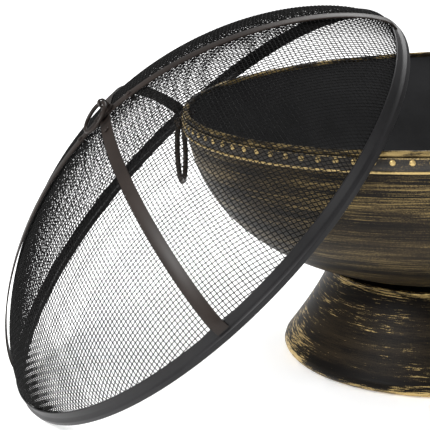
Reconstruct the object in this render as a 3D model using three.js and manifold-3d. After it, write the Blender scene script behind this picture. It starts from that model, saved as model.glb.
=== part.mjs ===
// A round garden fire pit: a spun steel bowl bolted to a flared pedestal, two drop-ring handles,
// a loose log grate inside, and a domed spark screen that leans on the bowl's rim.
// Millimetres, +Z up. The two handles are on the X axis, and the screen leans towards -X.
import * as THREE from "three";
import { mergeVertices } from "three/addons/utils/BufferGeometryUtils.js";
import Module from "manifold-3d";

const wasm = await Module();
wasm.setup();

// ---- Driving dimensions -------------------------------------------------------------------

const GAP = 0.3; // between pieces that touch
const FIT = 0.4; // round a shank in its hole
const LOOSE_FIT = 0.9; // round a ring's wire in its eye
const BOLT_END = 2; // a shank beyond its nut
const HEAD = 2.1; // a bolt head's radius per unit of its shank's
const NUT_CORNER = 2; // the same for a nut's corners
const NUT_HEIGHT = 1.6; // per unit of the shank's radius

const RIM_RADIUS = 381; // middle of the rolled rim
const RIM_HEIGHT = 376; // the same, above the ground
const RIM_BEAD = 4; // radius of the roll
const BOWL_WALL = 2;
const BOWL_DEPTH = 256; // from the middle of the roll to the lowest point of the curve
const BOWL_SHOULDER = 16; // how far above the rim the bowl's curve is widest
const BOWL_FULLNESS = 2.38; // 2 is an ellipse, more is squarer
const FLOOR_RADIUS = 110; // the bowl's flat floor

const BAND_HEIGHT = 21; // embossed band under the rim
const BAND_WALL = 2;
const BAND_DROP = 4.3; // from the middle of the roll down to the band
const BAND_BEAD = 1.6; // how far its lower bead stands out

const NECK_RADIUS = 180; // pedestal's top
const FOOT_RADIUS = 253; // pedestal's widest
const FOOT_ROUND = 15;
const FOOT_FLANGE = 16; // turned in on the ground
const PEDESTAL_WALL = 2.5;
const PEDESTAL_FLARE = 1.25; // 1 is a straight cone, more curves outwards to the foot
const NECK_LIP = 2.8; // radius of the roll round the pedestal's top
const NECK_RISE = 2.5; // the roll's middle above the seat plate's top
const SEAT_WALL = 2.5;
const SEAT_FLANGE = 16;

const SEAT_BOLT_CIRCLE = 70; // radius
const SEAT_BOLTS = 4;
const SEAT_SHANK = 4; // radius
const BRACKET_SHANK = 2.5; // radius

const HANDLE_RADIUS = 45; // middle of the wire
const HANDLE_WIRE = 4; // radius
const HANDLE_DROP = 25; // the eye's middle below the middle of the rim's roll
const HANDLE_STAND = 1.4; // wire off the bracket's plate
const BRACKET = { width: 34, rise: 20, drop: 9, wall: 2, corner: 3, eyeWall: 2.7, eyeWidth: 8 };
const BRACKET_BOLTS = { spacing: 22, fromTop: 7 };

const GRATE_RADIUS = 190; // middle of its ring
const GRATE_ROD = 5; // radius
const GRATE_LEGS_AT = 45; // degrees from +X
const GRATE_STANDS = 24; // its ring's middle above the foot of its legs
const GRATE_BARS = 7;
const GRATE_BAR_PITCH = 48;
const BEARER_OFFSET = 90;

const HOOP_INSET = 8; // its outside within the middle of the rim's roll
const HOOP_HEIGHT = 22;
const HOOP_ROLL = 9; // height of its fuller lower half
const HOOP_STEP = 4; // how far its upper half is set in
const HOOP_WALL = 2.5;
const HOOP_EDGE = 0.8; // chamfer under it
const MESH_SKIRT = 13; // mesh inside the hoop
const MESH_WALL = 1.6;
const DOME_RISE = 181;
const DOME_ROUND = 1.93; // 2 is round at its top, less is more pointed
const DOME_EDGE = 0.75; // 0.5 meets the hoop upright, more meets it at a slant
const DOME_STEPS = 9;
const DOME_SINK = 3; // foot of the dome's curve below the hoop's top
const STRAP_LAP = 10; // strap's end down the hoop's side
const STRAP_WIDTH = 18;
const STRAP_WALL = 2.2;
const STRAP_TURN = 75.3; // degrees from the screen's upper edge to the lower strap

const CROWN_SHANK = 2.5; // radius
const STRAP_SHANK = 2; // radius
const STRAP_BOLTS_AT = 47; // from the crossing of the straps
const CLIP = { width: 24, front: 24, back: 6, wall: 2, corner: 3, eyeWall: 2.2, eyeWidth: 6 };
const CLIP_RISE = 10; // ring's eye above the clip's plate
const CLIP_OFFSET = 12; // eye behind the crossing of the straps
const LIFT_RADIUS = 23; // middle of the lift ring's wire
const LIFT_WIRE = 2.8; // radius
const LIFT_TURN = 126; // degrees from the lower strap to the way the ring lies
const LIFT_LIES = 13; // degrees down from the crown's level, resting on the straps

const LEAN = 41.75; // degrees between the hoop and the ground
const LEAN_TOWARDS = 201.2; // degrees from +X
const LEAN_GAP = 2; // between the hoop's lower inside edge and the rim's roll
const LEAN_SPREAD = 1.72; // level distance per unit across that edge where it crosses the roll

// ---- Materials ----------------------------------------------------------------------------

const steel = (color, roughness, metalness) =>
  new THREE.MeshStandardMaterial({ color, roughness, metalness });
const ANTIQUE = steel(0x3b2f22, 0.5, 0.7);
const GILDED = steel(0x6b5530, 0.42, 0.8);
const SOOT_BLACK = steel(0x1f1e1d, 0.75, 0.3);
const HOOP_BLACK = steel(0x34343a, 0.45, 0.6);
const STRAP_BROWN = steel(0x342a26, 0.5, 0.6);
const MESH_BLACK = steel(0x1a1a1b, 0.6, 0.5);
const FASTENER = steel(0x26221e, 0.5, 0.7);

// ---- Shapes -------------------------------------------------------------------------------

const AROUND = 44; // facets round a large turned piece
const GRATE_AROUND = 32;
const flats = (around) => Math.cos(Math.PI / around); // a facet's middle per unit of its ends
const FACET = flats(AROUND);
const SMALL_AROUND = 8;
const CROWDING = 1.8; // above 1, a profile's points lie closer together low in the bowl
const radians = THREE.MathUtils.degToRad;
const at = (r, z) => new THREE.Vector2(r, z);

// Points of an arc round (r, z), both ends included, in degrees from the outward direction.
function arc(r, z, radius, from, to, steps) {
  return Array.from({ length: steps + 1 }, (_, i) => {
    const angle = radians(from + ((to - from) * i) / steps);
    return at(r + radius * Math.cos(angle), z + radius * Math.sin(angle));
  });
}

// A piece turned about +Z from a profile of radius and height, listed anticlockwise.
function turned(profile, around = AROUND) {
  return new THREE.LatheGeometry(profile, around).rotateX(Math.PI / 2);
}

// The same for a profile that is a closed loop off the axis.
const turnedRing = (profile, around) => turned([...profile, profile[0].clone()], around);

// A flat outline in X and Y, thickened along +Z.
function plate(shape, thickness, curveSegments = 5) {
  return new THREE.ExtrudeGeometry(shape, { depth: thickness, bevelEnabled: false, curveSegments });
}

// A straight rod along +Z from the origin.
const rod = (radius, length, sides = SMALL_AROUND) =>
  new THREE.CylinderGeometry(radius, radius, length, sides).rotateX(Math.PI / 2).translate(0, 0, length / 2);

function roundedRectangle(x0, y0, x1, y1, corner) {
  const shape = new THREE.Shape();
  shape.absarc(x1 - corner, y0 + corner, corner, -Math.PI / 2, 0);
  shape.absarc(x1 - corner, y1 - corner, corner, 0, Math.PI / 2);
  shape.absarc(x0 + corner, y1 - corner, corner, Math.PI / 2, Math.PI);
  shape.absarc(x0 + corner, y0 + corner, corner, Math.PI, 1.5 * Math.PI);
  return shape;
}

function toSolid(geometry) {
  const bare = geometry.clone();
  bare.deleteAttribute("normal");
  bare.deleteAttribute("uv");
  const { index, attributes } = mergeVertices(bare, 1e-4);
  const vertProperties = new Float32Array(attributes.position.array);
  const triVerts = new Uint32Array(index.array);
  return new wasm.Manifold(new wasm.Mesh({ numProp: 3, vertProperties, triVerts }));
}

function toGeometry(solid) {
  const { vertProperties, triVerts } = solid.getMesh();
  const geometry = new THREE.BufferGeometry();
  geometry.setAttribute("position", new THREE.BufferAttribute(vertProperties, 3));
  geometry.setIndex(new THREE.BufferAttribute(triVerts, 1));
  geometry.computeVertexNormals();
  return geometry;
}

const drilled = (geometry, holes) =>
  toGeometry(holes.reduce((solid, hole) => solid.subtract(toSolid(hole)), toSolid(geometry)));
const joined = (geometry, ...others) =>
  toGeometry(others.reduce((solid, other) => solid.add(toSolid(other)), toSolid(geometry)));

function piece(parent, name, geometry, material) {
  const mesh = new THREE.Mesh(geometry, material);
  mesh.name = name;
  parent.add(mesh);
  return mesh;
}

function group(parent) {
  const made = new THREE.Group();
  parent.add(made);
  return made;
}

// ---- The bowl's and the dome's curves -------------------------------------------------------

const curveTop = RIM_HEIGHT + BOWL_SHOULDER;
const bowlRadius = RIM_RADIUS + BOWL_WALL;
const curveDepth = BOWL_DEPTH + BOWL_SHOULDER;

// The bowl's radius at a height, and its height at a radius, a wall's part `inset` inwards.
function bowlRadiusAt(z, inset = 0) {
  const fall = (curveTop - z) / (curveDepth - inset);
  return (bowlRadius - inset) * (1 - fall ** BOWL_FULLNESS) ** (1 / BOWL_FULLNESS);
}
function bowlHeightAt(r, inset = 0) {
  const share = (1 - (r / (bowlRadius - inset)) ** BOWL_FULLNESS) ** (1 / BOWL_FULLNESS);
  return curveTop - (curveDepth - inset) * share;
}
const floorUnder = bowlHeightAt(FLOOR_RADIUS);
const floorTop = floorUnder + BOWL_WALL;

// The bowl's side from its floor to its rim, with points closest together where it curves most.
function bowlSide(low, inset, steps = 7) {
  return Array.from({ length: steps + 1 }, (_, i) => {
    const z = low + (RIM_HEIGHT - RIM_BEAD - low) * (i / steps) ** CROWDING;
    return at(bowlRadiusAt(z, inset), z);
  });
}
const bowlOutside = bowlSide(floorUnder, 0);
const bowlInside = bowlSide(floorTop, BOWL_WALL);

// The height of the faceted bowl's inside where something reaches radius r.
function insideHeightAt(r) {
  const reach = r / FACET;
  const i = bowlInside.findIndex((point) => point.x > reach);
  const [low, high] = [bowlInside[i - 1], bowlInside[i]];
  return low.y + ((high.y - low.y) * (reach - low.x)) / (high.x - low.x);
}

// A dome's profile from its foot at (radius, base) to its top.
function domeCurve(radius, base, rise, steps) {
  return Array.from({ length: steps + 1 }, (_, i) => {
    const angle = (Math.PI / 2) * (i / steps);
    const out = i === steps ? 0 : Math.cos(angle);
    return at(radius * out, base + rise * (1 - out ** DOME_ROUND) ** DOME_EDGE);
  });
}

// ---- Pedestal -----------------------------------------------------------------------------

const seatTop = floorUnder - GAP;
const neckHeight = seatTop + NECK_RISE;

function pedestalShell() {
  const side = (inset) =>
    Array.from({ length: 5 }, (_, i) => {
      const fall = i / 4;
      const r = NECK_RADIUS + (FOOT_RADIUS - NECK_RADIUS) * fall ** PEDESTAL_FLARE;
      return at(r - inset, neckHeight + (FOOT_ROUND - neckHeight) * fall);
    });
  const outerSide = side(0).slice(1).reverse();
  const innerSide = side(PEDESTAL_WALL).slice(1);
  const lip = arc(NECK_RADIUS - PEDESTAL_WALL / 2, neckHeight, NECK_LIP, -60, 240, 5);
  const footOut = arc(FOOT_RADIUS - FOOT_ROUND, FOOT_ROUND, FOOT_ROUND, -90, -20, 3);
  const footIn = arc(FOOT_RADIUS - FOOT_ROUND, FOOT_ROUND, FOOT_ROUND - PEDESTAL_WALL, -20, -90, 3);
  const flangeEnd = FOOT_RADIUS - FOOT_ROUND - FOOT_FLANGE;
  const flange = [at(flangeEnd, PEDESTAL_WALL), at(flangeEnd, 0)];
  return turnedRing([...footOut, ...outerSide, ...lip, ...innerSide, ...footIn, ...flange]);
}

function seatPlate() {
  const radius = NECK_RADIUS - PEDESTAL_WALL - NECK_LIP;
  const under = seatTop - SEAT_WALL;
  const skirt = seatTop - SEAT_FLANGE;
  return turned([
    at(0, under),
    at(radius - SEAT_WALL, under),
    at(radius - SEAT_WALL, skirt),
    at(radius, skirt),
    at(radius, seatTop),
    at(0, seatTop),
  ]);
}

// ---- Bowl ---------------------------------------------------------------------------------

function bowlShell() {
  const bead = arc(RIM_RADIUS, RIM_HEIGHT, RIM_BEAD, -50, 255, 7);
  const inside = bowlInside.toReversed();
  return turned([at(0, floorUnder), ...bowlOutside, ...bead, ...inside, at(0, floorTop)]);
}

const bandTop = RIM_HEIGHT - BAND_DROP;
const bandInside = bowlRadius + GAP;
const bandOutside = bandInside + BAND_WALL;

function rimBand() {
  const foot = bandTop - BAND_HEIGHT;
  return turnedRing([
    at(bandInside, foot),
    at(bandOutside, foot),
    at(bandOutside + BAND_BEAD, foot + 1),
    at(bandOutside + BAND_BEAD, foot + 3),
    at(bandOutside, foot + 4),
    at(bandOutside, bandTop - 1),
    at(bandOutside - 1, bandTop),
    at(bandInside, bandTop),
  ]);
}

// A bolt along -Z: a low domed head above z = 0 and a shank below it.
function bolt(shank, length) {
  const head = shank * HEAD;
  const tail = [at(0, -length), at(shank, -length), at(shank, 0)];
  const dome = [at(head, 0), at(head, shank * 0.4), at(head * 0.6, shank), at(0, shank * 1.1)];
  return turned([...tail, ...dome], SMALL_AROUND);
}

// A six-sided nut on +Z from z = 0, with a clear hole for its bolt.
function nut(shank) {
  const corner = shank * NUT_CORNER;
  const turn = Math.PI / 3;
  const place = (i) => at(corner * Math.cos(i * turn), corner * Math.sin(i * turn));
  const corners = [0, 1, 2, 3, 4, 5].map(place);
  const outline = new THREE.Shape(corners);
  outline.holes.push(new THREE.Path().absarc(0, 0, shank + GAP, 0, 2 * Math.PI, true));
  return plate(outline, shank * NUT_HEIGHT);
}

// A plate with an upright eye on it for a ring's wire. The eye's middle is the origin, the wire lies
// along Y, the plate is below, from -back to +front in X, and its underside is at z = -rise - wall.
function eyeClip(size, wire, bolts) {
  const { width, front, back, wall, corner, eyeWall, eyeWidth, eyeRise } = size;
  const base = roundedRectangle(-back, -width / 2, front, width / 2, corner);
  for (const [x, y, bore] of bolts) {
    base.holes.push(new THREE.Path().absarc(x, y, bore, 0, 2 * Math.PI, true));
  }
  const hole = wire + LOOSE_FIT;
  const outer = hole + eyeWall;
  const sink = -eyeRise - wall / 2;
  const eye = new THREE.Shape();
  eye.moveTo(-outer, sink).lineTo(outer, sink).lineTo(outer, 0);
  eye.absarc(0, 0, outer, 0, Math.PI).lineTo(-outer, sink);
  eye.holes.push(new THREE.Path().absarc(0, 0, hole, 0, 2 * Math.PI, true));
  const lug = plate(eye, eyeWidth, 6).rotateX(Math.PI / 2).translate(0, eyeWidth / 2, 0);
  return joined(plate(base, wall).translate(0, 0, -eyeRise - wall), lug);
}

// A clear hole for a shank along Z, far beyond any wall both ways.
const HOLE_REACH = 30;
const through = (shank) => rod(shank + FIT, 2 * HOLE_REACH).translate(0, 0, -HOLE_REACH);

// A ring hanging along +X from the origin, with its wire's middle through the origin along Y.
const ringFrom = (radius, wire) => new THREE.TorusGeometry(radius, wire, 6, 24).translate(radius, 0, 0);

// ---- Assembly: pedestal and bowl ------------------------------------------------------------

const firePit = new THREE.Group();
const standing = group(firePit); // everything, with the bowl's middle line as its own Z axis

const seatHoles = [];
const bowlHoles = [];
const bandHoles = [];
for (let i = 0; i < SEAT_BOLTS; i++) {
  const angle = ((i + 0.5) * 2 * Math.PI) / SEAT_BOLTS;
  const [x, y] = [SEAT_BOLT_CIRCLE * Math.cos(angle), SEAT_BOLT_CIRCLE * Math.sin(angle)];
  const nutFoot = seatTop - SEAT_WALL - GAP - SEAT_SHANK * NUT_HEIGHT;
  const head = floorTop + GAP;
  const hole = through(SEAT_SHANK).translate(x, y, seatTop);
  seatHoles.push(hole);
  bowlHoles.push(hole);
  const shank = bolt(SEAT_SHANK, head - nutFoot + BOLT_END);
  piece(standing, `seat_bolt_${i + 1}`, shank, FASTENER).position.set(x, y, head);
  piece(standing, `seat_nut_${i + 1}`, nut(SEAT_SHANK), FASTENER).position.set(x, y, nutFoot);
}

// ---- Assembly: drop-ring handles ------------------------------------------------------------

const eyeHeight = RIM_HEIGHT - HANDLE_DROP;
const plateFace = bandOutside + BAND_BEAD + GAP;
const eyeRise = HANDLE_WIRE + HANDLE_STAND;
const boltRise = BRACKET.rise - BRACKET_BOLTS.fromTop;
const boltAside = BRACKET_BOLTS.spacing / 2;

// The radius of a profile's facets at height z. The profile's points go upwards.
function facetRadius(profile, z) {
  const next = profile.findIndex((point) => point.y >= z);
  const share = (z - profile[next - 1].y) / (profile[next].y - profile[next - 1].y);
  return profile[next - 1].x + share * (profile[next].x - profile[next - 1].x);
}

const bracketBolts = [-boltAside, boltAside].map((y) => [-boltRise, y, BRACKET_SHANK + FIT]);
const bracketShape = { ...BRACKET, front: BRACKET.drop, back: BRACKET.rise, eyeRise };

for (const [side, turn] of [["right", 0], ["left", Math.PI]]) {
  const mount = group(standing);
  mount.rotation.z = turn;
  const eye = group(mount);
  eye.position.set(plateFace + BRACKET.wall + eyeRise, 0, eyeHeight);
  eye.rotation.y = Math.PI / 2; // the clip's +X points down, its +Z points away from the bowl
  piece(eye, `handle_bracket_${side}`, eyeClip(bracketShape, HANDLE_WIRE, bracketBolts), ANTIQUE);
  piece(eye, `handle_ring_${side}`, ringFrom(HANDLE_RADIUS, HANDLE_WIRE), ANTIQUE);
  bracketBolts.forEach(([x, y], i) => {
    const head = plateFace + BRACKET.wall + GAP;
    const corner = NUT_CORNER * BRACKET_SHANK;
    const wallInside = facetRadius(bowlInside, eyeHeight + boltRise - corner) * FACET;
    const nutFace = Math.sqrt(wallInside ** 2 - (Math.abs(y) + corner) ** 2) - 2 * GAP;
    const nutFoot = nutFace - BRACKET_SHANK * NUT_HEIGHT;
    const shape = bolt(BRACKET_SHANK, head - nutFoot + BOLT_END);
    const shank = piece(mount, `handle_bolt_${side}_${i + 1}`, shape, FASTENER);
    shank.position.set(head, y, eyeHeight - x);
    shank.rotation.y = Math.PI / 2;
    const holder = piece(mount, `handle_nut_${side}_${i + 1}`, nut(BRACKET_SHANK), FASTENER);
    holder.position.set(nutFoot, y, eyeHeight - x);
    holder.rotation.y = Math.PI / 2;
    const hole = through(BRACKET_SHANK).rotateY(Math.PI / 2);
    hole.translate(plateFace, y, eyeHeight - x).rotateZ(turn);
    bandHoles.push(hole);
    bowlHoles.push(hole);
  });
}

piece(standing, "pedestal", pedestalShell(), ANTIQUE);
piece(standing, "seat_plate", drilled(seatPlate(), seatHoles), SOOT_BLACK);
piece(standing, "fire_bowl", drilled(bowlShell(), bowlHoles), ANTIQUE);
piece(standing, "rim_band", drilled(rimBand(), bandHoles), GILDED);

// ---- Assembly: log grate ---------------------------------------------------------------------

const legFoot = insideHeightAt(GRATE_RADIUS + GRATE_ROD) + GAP;
const grateHeight = legFoot + GRATE_STANDS;
const ringInside = GRATE_RADIUS * flats(GRATE_AROUND) - GRATE_ROD;

const grateRing = new THREE.TorusGeometry(GRATE_RADIUS, GRATE_ROD, 6, GRATE_AROUND);
piece(standing, "grate_ring", grateRing, SOOT_BLACK).position.z = grateHeight;

// A rod's half length where it fits between the ring's sides, `offset` from the middle.
const withinRing = (offset) => Math.sqrt(ringInside ** 2 - (offset + GRATE_ROD) ** 2);
const grateRod = (half) => rod(GRATE_ROD, 2 * half).translate(0, 0, -half);

for (let i = 0; i < GRATE_BARS; i++) {
  const y = (i - (GRATE_BARS - 1) / 2) * GRATE_BAR_PITCH;
  const shape = grateRod(withinRing(Math.abs(y)) - 2 * GAP);
  const bar = piece(standing, `grate_bar_${i + 1}`, shape, SOOT_BLACK);
  bar.position.set(0, y, grateHeight);
  bar.rotation.y = Math.PI / 2;
}
[-1, 1].forEach((side, i) => {
  const shape = grateRod(withinRing(BEARER_OFFSET) - GRATE_ROD);
  const bearer = piece(standing, `grate_bearer_${i + 1}`, shape, SOOT_BLACK);
  bearer.position.set(side * BEARER_OFFSET, 0, grateHeight - 2 * GRATE_ROD - GAP);
  bearer.rotation.x = Math.PI / 2;
});
for (let i = 0; i < 4; i++) {
  const angle = radians(GRATE_LEGS_AT + 90 * i);
  const shape = rod(GRATE_ROD, GRATE_STANDS - GRATE_ROD - GAP);
  const leg = piece(standing, `grate_leg_${i + 1}`, shape, SOOT_BLACK);
  leg.position.set(GRATE_RADIUS * Math.cos(angle), GRATE_RADIUS * Math.sin(angle), legFoot);
}

// ---- Assembly: spark screen -------------------------------------------------------------------
// Its own frame: the hoop stands on z = 0, +Z is up through the dome, and +X is the edge that is
// highest when the screen leans.

const hoopRadius = RIM_RADIUS - HOOP_INSET;
const hoopUpper = hoopRadius - HOOP_STEP;
const meshRadius = hoopUpper - HOOP_WALL - 2 * GAP;
const domeBase = HOOP_HEIGHT - DOME_SINK;

function hoop() {
  const inner = (r) => r - HOOP_WALL;
  return turnedRing([
    at(inner(hoopRadius) + HOOP_EDGE, 0),
    at(hoopRadius - HOOP_EDGE, 0),
    at(hoopRadius, HOOP_EDGE),
    at(hoopRadius, HOOP_ROLL - 2),
    at(hoopUpper, HOOP_ROLL + 2),
    at(hoopUpper, HOOP_HEIGHT),
    at(inner(hoopUpper), HOOP_HEIGHT),
    at(inner(hoopUpper), HOOP_ROLL + 1),
    at(inner(hoopRadius), HOOP_ROLL - 3),
    at(inner(hoopRadius), HOOP_EDGE),
  ]);
}

function meshDome(holes) {
  const foot = domeBase - MESH_SKIRT;
  const skin = (inset) => [
    at(meshRadius - inset, foot),
    ...domeCurve(meshRadius - inset, domeBase, DOME_RISE - inset, DOME_STEPS),
  ];
  return drilled(turnedRing([...skin(0), ...skin(MESH_WALL).reverse()]), holes);
}

// A strap over the dome in the X Z plane, `lift` above the mesh at the top. Its ends stand upright
// outside the hoop's upper half.
function strap(lift, holes) {
  const base = HOOP_HEIGHT + GAP;
  const rise = domeBase + DOME_RISE + lift - base;
  const half = (wall) => {
    const radius = hoopUpper + GAP + wall;
    return [at(radius, HOOP_HEIGHT - STRAP_LAP), ...domeCurve(radius, base, rise + wall, 11)];
  };
  const across = (curve) => [...curve, ...curve.slice(0, -1).reverse().map(({ x, y }) => at(-x, y))];
  const outline = new THREE.Shape([...across(half(STRAP_WALL)), ...across(half(0)).reverse()]);
  const bar = plate(outline, STRAP_WIDTH).rotateX(Math.PI / 2).translate(0, STRAP_WIDTH / 2, 0);
  return drilled(bar, holes);
}

const tilt = radians(LEAN);

// Along the lean, the hoop's inside edge is at the rim's height `along` from the hoop's middle and
// `short` of the bowl's middle, and stands just clear of the roll there.
const hoopMiddle = GAP + hoopRadius * Math.sin(tilt);
const along = (RIM_HEIGHT - hoopMiddle) / Math.sin(tilt);
const edgeInside = (hoopRadius - HOOP_WALL + HOOP_EDGE) * FACET;
const crossing = RIM_RADIUS + LEAN_SPREAD * (RIM_BEAD + LEAN_GAP);
const short = Math.sqrt(crossing ** 2 - edgeInside ** 2 + along ** 2);

const leaning = group(standing);
leaning.rotation.z = radians(LEAN_TOWARDS) + Math.PI;
const screen = group(leaning);
screen.position.set(-short - along * Math.cos(tilt), 0, hoopMiddle);
screen.rotation.y = -tilt;

const meshTop = domeBase + DOME_RISE;
const strapLifts = [2 * GAP, 4 * GAP + STRAP_WALL];
const clipUnder = meshTop + strapLifts[1] + STRAP_WALL + GAP;
const strapAngle = radians(STRAP_TURN);
const holeAt = (x, shank) => through(shank).translate(x, 0, meshTop);
const centreHole = () => holeAt(0, CROWN_SHANK);
const legHoles = () => [-STRAP_BOLTS_AT, STRAP_BOLTS_AT].map((x) => holeAt(x, STRAP_SHANK));
const strapHoles = [centreHole(), ...legHoles()];

piece(screen, "screen_hoop", hoop(), HOOP_BLACK);
const crownHoles = [centreHole()];
["under", "over"].forEach((name, i) => {
  const angle = strapAngle + (i * Math.PI) / 2;
  piece(screen, `strap_${name}`, strap(strapLifts[i], strapHoles), STRAP_BROWN).rotation.z = angle;
  crownHoles.push(...legHoles().map((hole) => hole.rotateZ(angle)));
});
piece(screen, "screen_mesh", meshDome(crownHoles), MESH_BLACK);

// A bolt through each leg of the straps and one through their crossing, its nut under the mesh.
const levelAt = (r) => (1 - (r / meshRadius) ** DOME_ROUND) ** DOME_EDGE;
const fallAt = (r) => DOME_RISE * (1 - levelAt(r));

// The mesh's facets lie below its curve: this is how far they fall from the top at radius r.
function facetFall(r) {
  const curve = domeCurve(meshRadius, 0, DOME_RISE, DOME_STEPS);
  const next = curve.findIndex(({ x }) => x <= r);
  const share = (r - curve[next].x) / (curve[next - 1].x - curve[next].x);
  return DOME_RISE - curve[next].y - share * (curve[next - 1].y - curve[next].y);
}
function throughBolt(name, angle, out, shankRadius, headFace) {
  const spoke = group(screen);
  spoke.rotation.z = angle;
  const nutTop = meshTop - MESH_WALL - GAP - facetFall(out + NUT_CORNER * shankRadius);
  const nutFoot = nutTop - NUT_HEIGHT * shankRadius;
  const shank = bolt(shankRadius, headFace - nutFoot + BOLT_END);
  piece(spoke, `${name}_bolt`, shank, FASTENER).position.set(out, 0, headFace);
  piece(spoke, `${name}_nut`, nut(shankRadius), FASTENER).position.set(out, 0, nutFoot);
}
[0, 1, 2, 3].forEach((i) => {
  const fall = fallAt(STRAP_BOLTS_AT - HEAD * STRAP_SHANK);
  const overStrap = meshTop + strapLifts[i % 2] + STRAP_WALL - fall + GAP;
  const angle = strapAngle + (i * Math.PI) / 2;
  throughBolt(`strap_${i + 1}`, angle, STRAP_BOLTS_AT, STRAP_SHANK, overStrap);
});
throughBolt("crown", 0, 0, CROWN_SHANK, clipUnder + CLIP.wall + GAP);

// The clip with the lift ring's eye, between two straps, and the ring lying down the dome from it.
const liftWay = group(screen);
liftWay.rotation.z = strapAngle + radians(LIFT_TURN);
const liftEye = group(liftWay);
liftEye.position.set(-CLIP_OFFSET, 0, clipUnder + CLIP.wall + CLIP_RISE);
const liftClip = eyeClip({ ...CLIP, eyeRise: CLIP_RISE }, LIFT_WIRE, [[CLIP_OFFSET, 0, CROWN_SHANK + FIT]]);
piece(liftEye, "lift_clip", liftClip, STRAP_BROWN);
const liftRing = piece(liftEye, "lift_ring", ringFrom(LIFT_RADIUS, LIFT_WIRE), STRAP_BROWN);
liftRing.rotation.y = radians(LIFT_LIES);

// The part's origin is on the ground, at the middle of the whole object's outline.
const box = new THREE.Box3().setFromObject(standing, true);
const middle = box.getCenter(new THREE.Vector3()).round();
standing.position.set(-middle.x, -middle.y, 0);

export default firePit;
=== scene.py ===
"""Fire pit with a leaning spark screen: the looks of each piece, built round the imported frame.

Every piece has its own operator. Sizes and finishes are in the property groups, in metres.
"""

import math

import bmesh
import bpy
import numpy as np
from bpy.props import FloatProperty, FloatVectorProperty, IntProperty, PointerProperty
from mathutils import Matrix, Vector


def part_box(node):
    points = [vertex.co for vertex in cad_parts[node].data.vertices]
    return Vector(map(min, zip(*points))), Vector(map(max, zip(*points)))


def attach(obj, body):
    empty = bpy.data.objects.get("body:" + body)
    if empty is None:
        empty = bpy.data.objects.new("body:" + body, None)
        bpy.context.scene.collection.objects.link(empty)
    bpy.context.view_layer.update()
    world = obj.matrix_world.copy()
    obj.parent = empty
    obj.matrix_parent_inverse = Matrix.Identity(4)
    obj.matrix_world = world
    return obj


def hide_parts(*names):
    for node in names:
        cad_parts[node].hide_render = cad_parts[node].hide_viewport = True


bl_info = {
    "name": "Fire Pit",
    "version": (1, 0, 0),
    "blender": (4, 5, 0),
    "location": "View3D > Sidebar > Fire Pit",
    "description": "Builds a fire pit with a spark screen, piece by piece",
    "category": "Object",
}

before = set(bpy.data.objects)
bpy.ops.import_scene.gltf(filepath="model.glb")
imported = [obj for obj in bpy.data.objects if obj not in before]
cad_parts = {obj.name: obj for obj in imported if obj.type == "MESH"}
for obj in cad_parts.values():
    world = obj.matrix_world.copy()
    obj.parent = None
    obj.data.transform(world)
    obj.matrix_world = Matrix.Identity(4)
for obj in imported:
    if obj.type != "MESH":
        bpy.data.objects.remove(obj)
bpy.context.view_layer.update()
MM = 0.001


def middle_of(node):
    low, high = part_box(node)
    return (low + high) / 2


BOWL_AXIS = middle_of("fire_bowl")
FLOOR_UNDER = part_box("fire_bowl")[0].z

SHANK_FIT = 0.4 * MM
BRACKET_BOLT = 2.5 * MM  # radius of the shank, like the two below
STRAP_BOLT = 2 * MM
CROWN_BOLT = 2.5 * MM
HANDLE_CLIP = {
    "width": 34 * MM,
    "back": 20 * MM,
    "front": 9 * MM,
    "wall": 2 * MM,
    "rise": 5.4 * MM,
    "hole": 4.9 * MM,
    "eye_wall": 2.7 * MM,
    "eye_width": 8 * MM,
    "corner": 3 * MM,
}
LIFT_CLIP = {
    "width": 24 * MM,
    "back": 6 * MM,
    "front": 24 * MM,
    "wall": 2 * MM,
    "rise": 10 * MM,
    "hole": 3.7 * MM,
    "eye_wall": 2.2 * MM,
    "eye_width": 6 * MM,
    "corner": 3 * MM,
}
CAMERA_FROM_BOWL = (-0.0949, -2.1743)
CAMERA_HEIGHT = 0.7882
CAMERA_LENS = 125.0
CAMERA_YAW = math.radians(-6.69)
CAMERA_DOWN = math.radians(14.90)
CAMERA_ROLL = -0.0617


def length(name, description, default):
    return FloatProperty(name=name, description=description, default=default, unit="LENGTH")


def shade(name, description, default):
    return FloatVectorProperty(
        name=name, description=description, default=default, subtype="COLOR", size=3, min=0, max=1
    )


# ---- Sizes and finishes ---------------------------------------------------------------------


class FIREPIT_PG_bowl(bpy.types.PropertyGroup):
    """Sizes of the bowl, its band and the pedestal"""

    rim_radius: length("Rim radius", "To the middle of the rolled rim", 0.381)
    rim_height: length("Rim height", "Middle of the roll above the ground", 0.376)
    rim_bead: length("Rim bead", "Radius of the roll", 0.004)
    wall: length("Bowl wall", "Thickness of the bowl's sheet", 0.002)
    depth: length("Bowl depth", "From the roll to the lowest point of the curve", 0.256)
    shoulder: length("Shoulder", "How far above the rim the curve would be widest", 0.016)
    fullness: FloatProperty(name="Fullness", description="2 is an ellipse", default=2.38)
    stud_count: IntProperty(name="Studs", description="Studs round the band", default=98)
    stud_radius: length("Stud radius", "Radius of a stud", 0.0042)
    neck_radius: length("Neck radius", "Top of the pedestal", 0.180)
    foot_radius: length("Foot radius", "Widest part of the pedestal", 0.253)
    foot_round: length("Foot round", "Radius of the rounded foot", 0.015)
    flare: FloatProperty(name="Flare", description="1 is a straight cone", default=1.25)


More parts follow.
